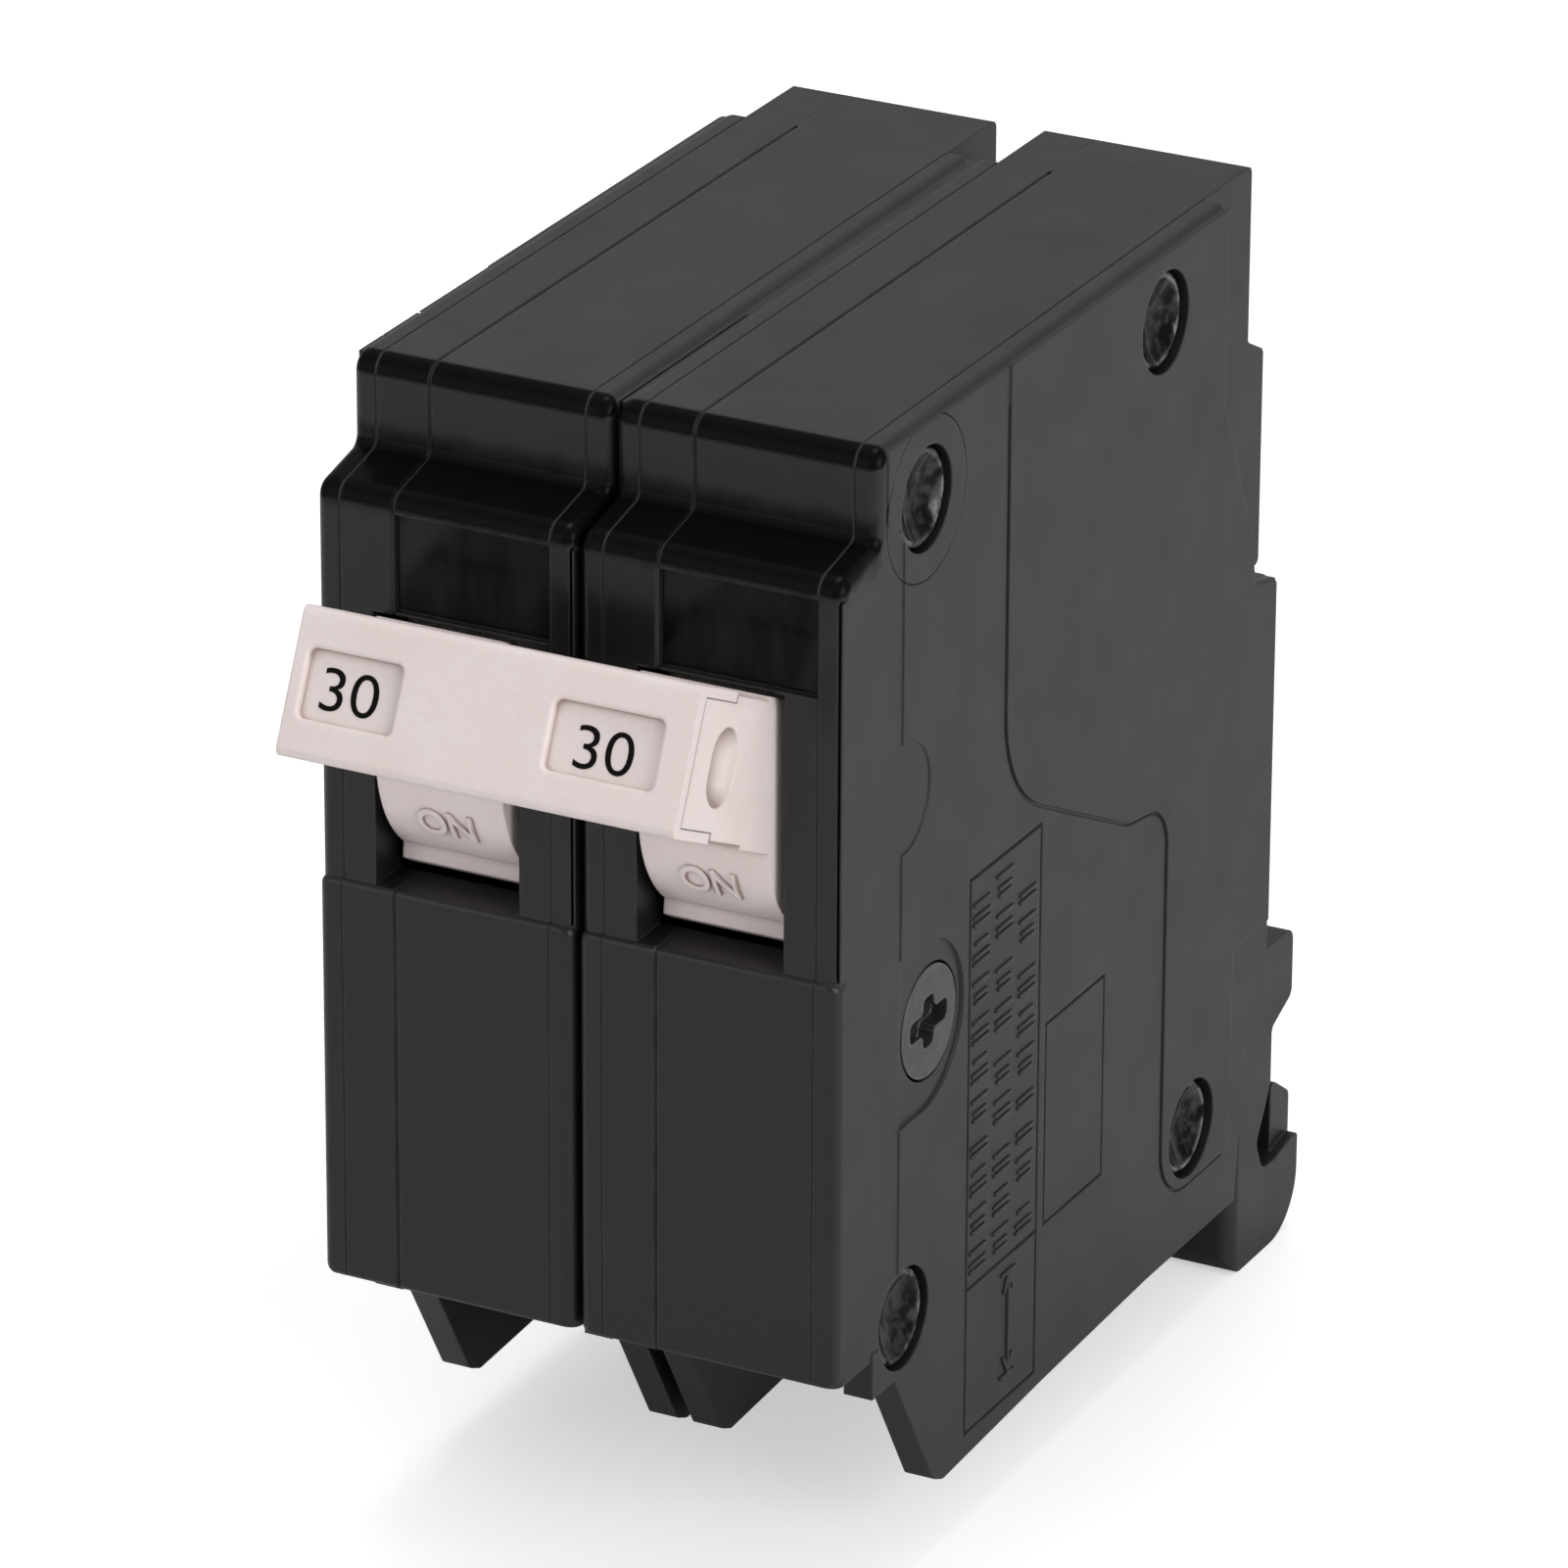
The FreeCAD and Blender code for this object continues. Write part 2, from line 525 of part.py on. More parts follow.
def main_spring():
    """Tension spring from the cradle's post to the contact arm's post."""
    y, z = arm_pivot()
    start = V(SPRING_X, *CRADLE_POST)
    end = V(SPRING_X, *on_ray((y, z), ARM_ANGLE, ARM_POST))
    along = (end - start).normalize()
    across = V(1, 0, 0).cross(along)
    coil_r = 1.35
    loop_r = 1.05
    turns = 9
    lead = 2.4
    body = start.distanceToPoint(end) - 2 * lead
    points = []
    for step in range(8):
        angle = math.radians(200 - 25 * step)
        points.append(start + along * (loop_r * math.cos(angle)) + across * (loop_r * math.sin(angle)))
    for step in range(turns * 12 + 1):
        angle = 2 * math.pi * step / 12
        ring = V(1, 0, 0) * (coil_r * math.sin(angle)) + across * (coil_r * math.cos(angle))
        points.append(start + along * (lead + body * step / (turns * 12)) + ring)
    for step in range(8):
        angle = math.radians(155 - 25 * step)
        points.append(end + along * (loop_r * math.cos(angle)) + across * (loop_r * math.sin(angle)))
    return pipe(points, 0.24)


def trip_bar():
    """Common trip shaft through both poles, with a finger beside each cradle."""
    shaft = rod_x(TRIP_AXIS, 2.6, -PITCH + 1.9, PITCH - 1.9)
    solids = [shaft]
    y, z = TRIP_AXIS
    for side in (-1, 1):
        x_end = side * (PITCH - 0.25)
        x_in = side * (PITCH - 1.9)
        solids.append(rod_x(TRIP_AXIS, 3.85, min(x_end, x_in), max(x_end, x_in)))
        centre = side * HALF
        finger = plate([(y - 1.5, z + 1.5), (y + 1.5, z - 1.5), (y + 4.6, z + 3.4),
                        (y + 6.6, z + 7.6, 0.8), (y + 5.2, z + 7.9, 0.4)],
                       centre + 1.7, centre + 3.3)
        solids.append(finger)
    bar = join(*solids)
    for side in (-1, 1):
        x0 = side * (PITCH - 1.45)
        x1 = side * (PITCH + 0.5)
        bar = drill(bar, cross_socket(min(x0, x1), max(x0, x1)))
    return bar


def cross_socket(x0, x1):
    """Round-ended cross around the trip axis, longer along y than along z."""
    y, z = TRIP_AXIS
    long_arm = [(y - 2.7, z - 0.75, 0.5), (y + 2.7, z - 0.75, 0.5), (y + 2.7, z + 0.75, 0.5),
                (y - 2.7, z + 0.75, 0.5)]
    short_arm = [(y - 0.8, z - 1.8, 0.5), (y + 0.8, z - 1.8, 0.5), (y + 0.8, z + 1.8, 0.5),
                 (y - 0.8, z + 1.8, 0.5)]
    return join(plate(long_arm, x0, x1), plate(short_arm, x0, x1), rod_x(TRIP_AXIS, 1.3, x0, x1))


def bimetal():
    return box(-3.0, 3.0, 34.3, 35.3, 7.0, 25.8)


def magnet_yoke():
    """U-shaped core around the bimetal; its two pole faces look at the armature."""
    outer = box(-5.4, 5.4, 32.4, 39.0, 13.5, 24.0)
    return drill(outer, box(-4.2, 4.2, 32, 37.6, 13, 25))


def armature():
    """Hinged plate that the yoke attracts; its upper edge is the latch."""
    y, z = ARMATURE_HINGE
    sheet = box(-5.4, 5.4, y - 0.6, y + 0.6, z - 1.2, 26.0)
    relief = box(-2.2, 1.2, y - 2, y + 2, 17.0, 22.0)
    pivots = rod_x(ARMATURE_HINGE, 0.7, -7.0, 7.0)
    return drill(join(sheet, pivots), relief)


def armature_spring():
    """Leaf that leans on the armature's front and is fixed in the case floor."""
    path = [(22.5, 5.0), (27.0, 5.0), (27.0, 9.0), (29.7, 13.4), (29.7, 16.0), (29.3, 16.0),
            (29.3, 13.5), (26.6, 9.1), (26.6, 5.4), (22.5, 5.4)]
    return plate(path, -1.6, 1.6)


def calibration_screw():
    shank = rod_y(0, 8.8, 1.25, 36.6, 45.0)
    head = rod_y(0, 8.8, 2.2, 45.0, 46.5)
    return drill(join(shank, head), box(-3, 3, 45.8, 47, 8.45, 9.15))


def load_strap():
    """Copper strap from inside the terminal, through the floor, to the bimetal."""
    path = [(27.3, -7.0), (28.5, -7.0), (28.5, 5.2), (36.5, 5.2), (36.5, 11.0), (35.3, 11.0),
            (35.3, 6.4), (27.3, 6.4)]
    return plate(path, -3.2, 3.2)


# ---- wire terminal ----
def terminal_lug():
    """Box collar with a threaded front wall; the wire passes up through it."""
    z0, z1 = LUG_Z
    outer = box(-5.0, 5.0, 17.5, 30.5, z0, z1)
    edges = [e for e in outer.Edges if abs(e.tangentAt(e.FirstParameter).z) > 0.9]
    outer = outer.makeFillet(0.8, edges)
    room = box(-3.6, 3.6, 20.6, 28.6, z0 - 1, z1 + 1)
    return drill(outer, room, rod_y(0, SCREW_Z, SCREW_R + RUNNING, 17, 21))


def pressure_plate():
    """Saddle on the screw's tip that presses the wire."""
    saddle = box(-3.3, 3.3, 20.8, 22.6, SCREW_Z - 3.6, SCREW_Z + 3.6)
    groove = Part.makeCylinder(3.0, 12, V(0, 25.2, SCREW_Z - 6))
    socket = rod_y(0, SCREW_Z, 1.2, 20, 21.5)
    return drill(saddle, groove, socket)


def terminal_screw():
    """Clamp screw: slotted head in front, reduced tip turning in the saddle."""
    front = 12.3
    head = rod_y(0, SCREW_Z, 3.1, front, front + 2.4)
    edges = [e for e in head.Edges
             if isinstance(e.Curve, Part.Circle) and abs(e.CenterOfMass.y - front) < 0.01]
    head = head.makeFillet(0.5, edges)
    shank = rod_y(0, SCREW_Z, SCREW_R, front + 2.3, 20.7)
    tip = rod_y(0, SCREW_Z, 1.2 - RUNNING, 20.5, 21.4)
    slot = box(-4, 4, front - 1, front + 1.1, SCREW_Z - 0.45, SCREW_Z + 0.45)
    return drill(join(head, shank, tip), slot)


def braid():
    """Flexible copper lead from the bimetal's free end to the contact arm."""
    points = [V(-2.2, 33.4, 24.6), V(-2.8, 32.2, 27.0), V(-3.0, 31.2, 31.0), V(-2.9, 30.0, 35.0),
              V(-2.4, 28.6, 38.2), V(-2.1, 27.6, 39.6)]
    return pipe(points, 0.75)


# ---- fasteners ----
def case_rivets():
    """Four long rivets through both poles, with heads in the recesses."""
    depth = RIVET_RECESS[1]
    dish_r, dish_depth = RIVET_DISH
    ball_r = (dish_r ** 2 + dish_depth ** 2) / (2 * dish_depth)
    rivets = []
    for centre in RIVETS:
        solids = [rod_x(centre, RIVET_R, -PITCH + depth, PITCH - depth)]
        for side in (-1, 1):
            x0 = side * (PITCH - depth)
            x1 = side * (PITCH - depth + RIVET_HEAD)
            head = rod_x(centre, RIVET_HEAD_R, min(x0, x1), max(x0, x1))
            rim = [e for e in head.Edges
                   if isinstance(e.Curve, Part.Circle) and abs(e.CenterOfMass.x - x1) < 0.01]
            ball = Part.makeSphere(ball_r, V(x1 + side * (ball_r - dish_depth), *centre))
            solids.append(drill(head.makeFillet(0.3, rim), ball))
        rivets.append(join(*solids))
    return Part.makeCompound(rivets)


# ---- export ----
def place(shape, x=0.0):
    moved = shape.copy()
    moved.translate(V(x, 0, 0) - ORIGIN)
    return moved


def write(name, shape, x=0.0):
    place(shape, x).exportStep(f"{OUTPUT}/{name}.step")


PER_POLE = [
    handle, arm_pin, contact_arm, moving_contact, fixed_contact, line_strap, line_jaw, jaw_spring,
    arc_plates, arc_frame, cradle, cradle_pin, main_spring, bimetal, magnet_yoke, armature,
    armature_spring, calibration_screw, load_strap, terminal_lug, pressure_plate, terminal_screw,
    braid,
]


def main():
    base, cover = shells()
    poles = {"left": -HALF, "right": HALF}
    for pole, x in poles.items():
        side = 1 if x > 0 else -1
        outer = rivet_recesses(side)
        is_outer_base = side > 0
        write(f"{pole}_base_shell", drill(base, *outer) if is_outer_base else base, x)
        write(f"{pole}_cover_shell", cover if is_outer_base else drill(cover, *outer), x)
        for make in PER_POLE:
            write(f"{pole}_{make.__name__}", make(), x)
    for make in (handle_tie, trip_bar, case_rivets):
        write(make.__name__, make())


main()
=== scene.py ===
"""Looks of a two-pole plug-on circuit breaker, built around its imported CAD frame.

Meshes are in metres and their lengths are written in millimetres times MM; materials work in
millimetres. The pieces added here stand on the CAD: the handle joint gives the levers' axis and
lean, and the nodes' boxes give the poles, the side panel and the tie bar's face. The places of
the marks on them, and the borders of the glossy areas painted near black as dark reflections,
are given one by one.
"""

import json
import math

import bmesh
import bpy
from mathutils import Matrix, Vector


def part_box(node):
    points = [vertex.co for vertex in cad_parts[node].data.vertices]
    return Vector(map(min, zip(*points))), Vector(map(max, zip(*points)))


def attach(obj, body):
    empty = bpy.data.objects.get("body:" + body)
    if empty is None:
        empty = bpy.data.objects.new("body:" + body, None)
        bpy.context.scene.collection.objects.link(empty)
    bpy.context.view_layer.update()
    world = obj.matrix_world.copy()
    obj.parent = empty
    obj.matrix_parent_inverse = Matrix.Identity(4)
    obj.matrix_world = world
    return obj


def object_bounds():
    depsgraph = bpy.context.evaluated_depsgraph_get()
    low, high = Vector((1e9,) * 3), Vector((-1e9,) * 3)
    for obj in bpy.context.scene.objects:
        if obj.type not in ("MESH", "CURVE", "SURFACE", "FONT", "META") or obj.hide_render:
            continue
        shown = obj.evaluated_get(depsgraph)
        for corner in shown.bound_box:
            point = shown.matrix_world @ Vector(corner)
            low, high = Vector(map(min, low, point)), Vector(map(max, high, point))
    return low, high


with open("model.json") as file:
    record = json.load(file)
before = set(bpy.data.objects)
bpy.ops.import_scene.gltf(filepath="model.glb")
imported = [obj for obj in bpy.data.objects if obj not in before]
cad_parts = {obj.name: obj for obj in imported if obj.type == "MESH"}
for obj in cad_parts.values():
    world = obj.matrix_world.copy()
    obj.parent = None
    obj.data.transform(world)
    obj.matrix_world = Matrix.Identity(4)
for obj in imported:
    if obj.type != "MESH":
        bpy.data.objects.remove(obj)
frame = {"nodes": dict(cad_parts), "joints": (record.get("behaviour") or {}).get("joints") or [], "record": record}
CAD_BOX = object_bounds()

MM = 0.001
POLE_OFFSET = 9.525         # millimetres from the middle to a pole's middle
SEAM = -3.69                # from a pole's middle to the parting line of its two shells
BODY_HALF = 7.6             # from a pole's middle to the fine lines beside its narrow body
DATUM = Vector((0, -64.7, -21.85)) * MM      # front lower edge of the case
POLES = ("left", "right")
POLE_X = {pole: sum(c.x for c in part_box(pole + "_terminal_lug")) / 2 for pole in POLES}
JOINTS = {joint["name"]: joint for joint in frame["joints"]}
LEVER_JOINT = JOINTS["handle_throw"]
PIVOT = Vector(LEVER_JOINT["pos_m"])
LEVER_ANGLE = math.radians(LEVER_JOINT["range_deg"][1]) / 2
OUT = Vector((0, -math.cos(LEVER_ANGLE), math.sin(LEVER_ANGLE)))
UP = Vector((0, math.sin(LEVER_ANGLE), math.cos(LEVER_ANGLE)))
ACROSS, BACKWARD, UPRIGHT = Vector((1, 0, 0)), Vector((0, 1, 0)), Vector((0, 0, 1))

# Borders of the tones on the case, in millimetres in the frame: a tone fades in from the first
# number to the second. The field with a high polish is the visor above the handles and the shoulder
# over it, the brow is the front face over the shoulder, and the turning is a rounded upper edge.
# These places are painted near black as painted dark reflections, and the glare is a painted
# reflection, a lighter triangle near the seam on the visor.
FRONT_Y = (-58.0, -58.4)
FIELD_Y = (-59.0, -59.6)
VISOR_LOW, VISOR_HIGH = (26.03, 26.05), (32.8, 32.7)
SHOULDER_LOW, SHOULDER_HIGH = (32.5, 33.4), (35.3, 35.0)
BROW_LOW, BROW_HIGH = (34.9, 35.0), (37.0, 36.2)
TURNING_LOW = (31.0, 32.0)
FIELD_LEFT, FIELD_RIGHT = (SEAM - 0.03, SEAM + 0.01), (BODY_HALF + 0.02, BODY_HALF - 0.02)
GLARE_WIDTH, GLARE_HEIGHT = 4.8, 4.9
LEVER_SIDE = (4.58, 4.45)   # from a pole's middle: the dish, where a shadow is painted, lies just under the lever's side


# ---------------------------------------------------------------- materials: node helper
class Look:
    """One procedural material: adds nodes, links them, and ends in a Principled surface."""

    def __init__(self, name):
        self.material = bpy.data.materials.new(name)
        self.material.use_nodes = True
        self.tree = self.material.node_tree
        self.tree.nodes.clear()
        self.output = self.tree.nodes.new("ShaderNodeOutputMaterial")
        self.surface = self.node("ShaderNodeBsdfPrincipled")
        self.tree.links.new(self.surface.outputs[0], self.output.inputs["Surface"])
        place = self.node("ShaderNodeTexCoord").outputs["Object"]
        self.place = self.vector_math("SCALE", place, scale=1 / MM)

    def node(self, kind, **settings):
        """Adds one node, with its own settings."""
        made = self.tree.nodes.new(kind)
        for key, value in settings.items():
            setattr(made, key, value)
        return made

    def feed(self, socket, value):
        """Links an output to an input socket, or sets the input's plain value."""
        if isinstance(value, bpy.types.NodeSocket):
            self.tree.links.new(value, socket)
        else:
            socket.default_value = value

    def math(self, operation, first, second=0.0):
        made = self.node("ShaderNodeMath", operation=operation)
        self.feed(made.inputs[0], first)
        self.feed(made.inputs[1], second)
        return made.outputs[0]

    def times(self, first, *others):
        """Product of all the values."""
        for other in others:
            first = self.math("MULTIPLY", first, other)
        return first

    def most(self, first, *others):
        """Largest of all the values."""
        for other in others:
            first = self.math("MAXIMUM", first, other)
        return first

    def vector_math(self, operation, first, second=None, scale=None):
        made = self.node("ShaderNodeVectorMath", operation=operation)
        self.feed(made.inputs[0], first)
        if second is not None:
            self.feed(made.inputs[1], second)
        if scale is not None:
            self.feed(made.inputs["Scale"], scale)
        return made.outputs["Value" if operation == "DOT_PRODUCT" else "Vector"]

    def separate(self):
        """The three coordinates of the position in millimetres."""
        made = self.node("ShaderNodeSeparateXYZ")
        self.feed(made.inputs[0], self.place)
        return tuple(made.outputs)

    def true_normal(self):
        """The surface's own normal, without rounded edges or bump."""
        return self.node("ShaderNodeNewGeometry").outputs["Normal"]

    def facing(self, direction):
        """1 where the surface faces the direction, 0 where it is side on, and -1 behind."""
        return self.vector_math("DOT_PRODUCT", self.true_normal(), tuple(direction))

    def from_pole(self, x):
        """Distance from the nearer pole's middle, to the right, and that pole's side, -1 or 1."""
        side = self.math("SIGN", x)
        return self.math("SUBTRACT", x, self.times(side, POLE_OFFSET)), side

    def stretched(self, factors):
        """The position in millimetres, scaled by a factor along each axis."""
        return self.vector_math("MULTIPLY", self.place, factors)

    def noise(self, size, detail=3.0, rough=0.55, place=None):
        """Noise from 0 to 1 whose blobs are about size millimetres wide."""
        made = self.node("ShaderNodeTexNoise")
        self.feed(made.inputs["Vector"], place or self.place)
        self.feed(made.inputs["Scale"], 1.0 / size)
        self.feed(made.inputs["Detail"], detail)
        self.feed(made.inputs["Roughness"], rough)
        return made.outputs["Fac"]

    def spread(self, value, low, high, to_low=0.0, to_high=1.0):
        """Maps low..high to to_low..to_high, clamped."""
        made = self.node("ShaderNodeMapRange", clamp=True)
        for index, number in enumerate((value, low, high, to_low, to_high)):
            self.feed(made.inputs[index], number)
        return made.outputs[0]

    def blend(self, share, first, second):
        """Colour between first and second."""
        made = self.node("ShaderNodeMix", data_type="RGBA")
        self.feed(made.inputs["Factor"], share)
        self.feed(made.inputs["A"], first)
        self.feed(made.inputs["B"], second)
        return made.outputs["Result"]

    def mix(self, share, first, second):
        """Number between first and second."""
        made = self.node("ShaderNodeMix", data_type="FLOAT")
        self.feed(made.inputs["Factor"], share)
        self.feed(made.inputs["A"], first)
        self.feed(made.inputs["B"], second)
        return made.outputs["Result"]

    def rounded_normal(self, radius):
        """The surface normal with every edge rounded to radius millimetres."""
        made = self.node("ShaderNodeBevel", samples=6)
        made.inputs["Radius"].default_value = radius * MM
        return made.outputs[0]

    def edges(self, radius, reach=0.25):
        """0 on faces, rising to 1 on edges, within radius millimetres of them."""
        return self.spread(self.vector_math("DOT_PRODUCT", self.rounded_normal(radius),
                                            self.true_normal()), 1.0, 1.0 - reach)

    def open_sky(self, reach, sky):
        """Near 1 on open faces, and less where something within reach millimetres hides the sky."""
        tilted = self.vector_math("NORMALIZE", self.vector_math("ADD", self.true_normal(), sky))
        made = self.node("ShaderNodeAmbientOcclusion", samples=8)
        made.inputs["Distance"].default_value = reach * MM
        self.feed(made.inputs["Normal"], tilted)
        return made.outputs["AO"]

    def bump(self, height, depth, normal=None):
        """Bump whose full height is depth millimetres."""
        made = self.node("ShaderNodeBump")
        made.inputs["Strength"].default_value = 1.0
        made.inputs["Distance"].default_value = depth * MM
        self.feed(made.inputs["Height"], height)
        if normal is not None:
            self.feed(made.inputs["Normal"], normal)
        return made.outputs[0]

    def finish(self, colour, rough, normal=None, **others):
        """Feeds the surface, where others are its inputs with _ for a space; gives the material."""
        self.feed(self.surface.inputs["Base Color"], colour)
        self.feed(self.surface.inputs["Roughness"], rough)
        if normal is not None:
            self.feed(self.surface.inputs["Normal"], normal)
        for name, value in others.items():
            self.feed(self.surface.inputs[name.replace("_", " ")], value)
        return self.material


def grey(value):
    """Neutral colour, as linear light."""
    return (value, value, value, 1.0)


# ---------------------------------------------------------------- materials: plastics
def case_black():
    """Moulded thermoset: satin on the sides and top, smoother in front, and with a high polish round
    the front edges, on the shoulder and on the field above the handles. These places have a real
    smoother finish, but their near black colour is a painted dark reflection; the lighter seam
    lines on them are painted highlights, and a lighter triangle near the seam on the visor is a
    painted glare."""
    look = Look("case_black")
    x, y, z = look.separate()
    facing, upward = look.facing((0, -1, 0)), look.facing((0, 0, 1))
    forward = look.spread(y, *FRONT_Y)
    front = look.times(look.spread(facing, 0.5, 0.9), forward)
    across = look.from_pole(x)[0]
    height = look.math("ADD", z, look.spread(look.noise(1.6, 5.0), 0.3, 0.7, -0.3, 0.3))

    # Painted dark reflection: the rounded upper edge, picked by the way it faces, is painted near black and kept
    # dull of shine.
    turning = look.times(look.spread(facing, 0.08, 0.2), look.spread(upward, 0.06, 0.2),
                         look.spread(z, *TURNING_LOW))
    visor = look.times(look.spread(z, *VISOR_LOW), look.spread(z, *VISOR_HIGH),
                       look.spread(across, *FIELD_LEFT), look.spread(across, *FIELD_RIGHT),
                       look.spread(facing, 0.5, 0.8))
    # Painted reflection: the glare is a soft lighter triangle near the seam on the visor, where the dark painting
    # is eased.
    top = VISOR_HIGH[1]
    slant = look.math("ADD", look.spread(across, SEAM, SEAM + GLARE_WIDTH),
                      look.spread(z, top, top - GLARE_HEIGHT))
    glare = look.times(look.spread(slant, 1.05, 0.75), look.spread(slant, 0.0, 0.4))
    visor = look.times(visor, look.math("SUBTRACT", 1.0, look.times(glare, 0.45)))
    shoulder = look.times(look.spread(height, *SHOULDER_LOW), look.spread(z, *SHOULDER_HIGH))
    field = look.times(look.most(visor, shoulder), look.spread(y, *FIELD_Y))
    brow = look.times(look.spread(height, *BROW_HIGH), front, look.spread(z, *BROW_LOW))
    # Painted dark reflection: these places are painted near black; only their smoother roughness is real polish.
    polish_and_dark_reflection = look.times(look.most(turning, field, look.times(brow, 0.85)), forward)
    # Painted highlight: the seam lines across the glossy places are painted lighter, as if light caught their
    # flash.
    parting_highlight = 0.0
    for line in (SEAM, -BODY_HALF, BODY_HALF):
        off = look.math("ABSOLUTE", look.math("SUBTRACT", across, line))
        parting_highlight = look.most(parting_highlight, look.spread(off, 0.1, 0.05))
    parting_highlight = look.times(parting_highlight, polish_and_dark_reflection, 0.8)

    cloud = look.noise(11.0, 4.0)
    speck = look.noise(0.45, 2.0)
    tone = look.blend(look.spread(cloud, 0.3, 0.7), grey(0.0095), grey(0.0125))
    tone = look.blend(look.spread(speck, 0.62, 0.75, 0.0, 0.3), tone, grey(0.022))
    tone = look.blend(front, tone, look.blend(cloud, grey(0.006), grey(0.009)))
    # Painted dark reflection: the glossy places go near black.
    tone = look.blend(polish_and_dark_reflection, tone, grey(0.0035))
    smear = look.noise(1.0, 4.0, place=look.stretched((0.55, 0.5, 0.12)))
    worn = look.times(look.edges(0.3), look.spread(look.noise(2.2, 5.0), 0.35, 0.7, 0.35, 1.0),
                      look.spread(polish_and_dark_reflection, 0.0, 1.0, 0.6, 0.15))
    tone = look.blend(worn, tone, grey(0.06))
    # Painted highlight along the seam lines.
    tone = look.blend(parting_highlight, tone, grey(0.075))

    polish = look.spread(look.noise(7.0, 2.0), 0.35, 0.65, 0.24, 0.31)
    matte = look.spread(look.noise(5.0, 3.0), 0.3, 0.7, 0.40, 0.46)
    rough = look.mix(front, matte, polish)
    rough = look.mix(polish_and_dark_reflection, rough, look.spread(smear, 0.3, 0.75, 0.14, 0.3))
    shine = look.mix(polish_and_dark_reflection, 0.44, look.spread(smear, 0.35, 0.8, 0.12, 0.3))
    shine = look.mix(look.times(turning, forward), shine, 0.05)
    shape = look.bump(look.noise(14.0, 1.0), 0.05, look.rounded_normal(0.22))
    shape = look.bump(look.noise(0.32, 2.0), 0.004, shape)
    return look.finish(tone, rough, shape, Specular_IOR_Level=shine)


def trip_black():
    """Moulded nylon: a little paler and glossier than the case, with swirl marks."""
    look = Look("trip_black")
    tone = look.blend(look.spread(look.noise(1.4, 5.0), 0.35, 0.65), grey(0.018), grey(0.035))
    tone = look.blend(look.times(look.edges(0.25), 0.8), tone, grey(0.16))
    swirl = look.noise(0.7, 4.0, place=look.stretched((1.0, 0.3, 1.0)))
    normal = look.bump(swirl, 0.03, look.rounded_normal(0.2))
    return look.finish(tone, look.spread(look.noise(1.2, 3.0), 0.3, 0.7, 0.2, 0.34), normal)


def ink_black():
    """Printed ink: dull, with thin spots."""
    look = Look("ink_black")
    tone = look.blend(look.noise(0.5, 4.0), grey(0.0005), grey(0.003))
    return look.finish(tone, look.spread(look.noise(0.8), 0.3, 0.7, 0.55, 0.7),
                       look.bump(look.noise(0.15), 0.004), Specular_IOR_Level=0.1)


def handle_cream():
    """Moulded urea: warm pinkish cream, slightly translucent, with soft handling marks, painted shade in hollows,
    and a painted shadow in the dish in each lever's side.
    """
    look = Look("handle_cream")
    cloud = look.noise(6.0, 4.0)
    tone = look.blend(look.spread(cloud, 0.3, 0.7),
                      (0.80, 0.695, 0.675, 1), (0.85, 0.755, 0.735, 1))
    fine = look.spread(look.noise(0.5, 3.0), 0.45, 0.75, 0.0, 0.25)
    tone = look.blend(fine, tone, (0.74, 0.62, 0.60, 1))
    grime = look.times(look.spread(look.noise(2.5, 6.0), 0.52, 0.75), look.edges(0.5), 0.35)
    tone = look.blend(grime, tone, (0.55, 0.44, 0.41, 1))
    # Painted shade: hollows and undersides that are hidden from the upper front are painted a darker dusky pink.
    painted_sky_shade = look.spread(look.open_sky(0.9, (-0.35, -0.35, 0.8)), 0.78, 0.35, 0.0, 0.85)
    tone = look.blend(painted_sky_shade, tone, (0.33, 0.21, 0.20, 1))
    across, side = look.from_pole(look.separate()[0])
    # Painted shadow: the deep part of the dish in each lever's side is painted dark brown.
    dish = look.times(look.spread(look.math("ABSOLUTE", across), *LEVER_SIDE),
                      look.spread(look.times(look.facing((1, 0, 0)), side), 0.1, 0.25),
                      look.spread(look.facing(-OUT), -0.8, -0.3, 0.0, 0.75))
    tone = look.blend(dish, tone, (0.30, 0.21, 0.19, 1))
    normal = look.bump(look.noise(4.0, 2.0), 0.05, look.rounded_normal(0.18))
    normal = look.bump(look.noise(0.28, 2.0), 0.005, normal)
    rough = look.spread(look.noise(3.0, 4.0), 0.3, 0.7, 0.36, 0.48)
    return look.finish(tone, rough, normal, Subsurface_Weight=0.08, Subsurface_Scale=0.0015,
                       Subsurface_Radius=(1.0, 0.75, 0.6))


def grey_fibre():
    """Vulcanised fibre board with its laid strands."""
    look = Look("grey_fibre")
    strands = look.noise(0.5, 4.0, 0.7, look.stretched((1.0, 0.18, 1.0)))
    tone = look.blend(look.spread(strands, 0.3, 0.7),
                      (0.16, 0.155, 0.145, 1), (0.30, 0.285, 0.26, 1))
    return look.finish(tone, look.spread(strands, 0.3, 0.7, 0.7, 0.9), look.bump(strands, 0.03))


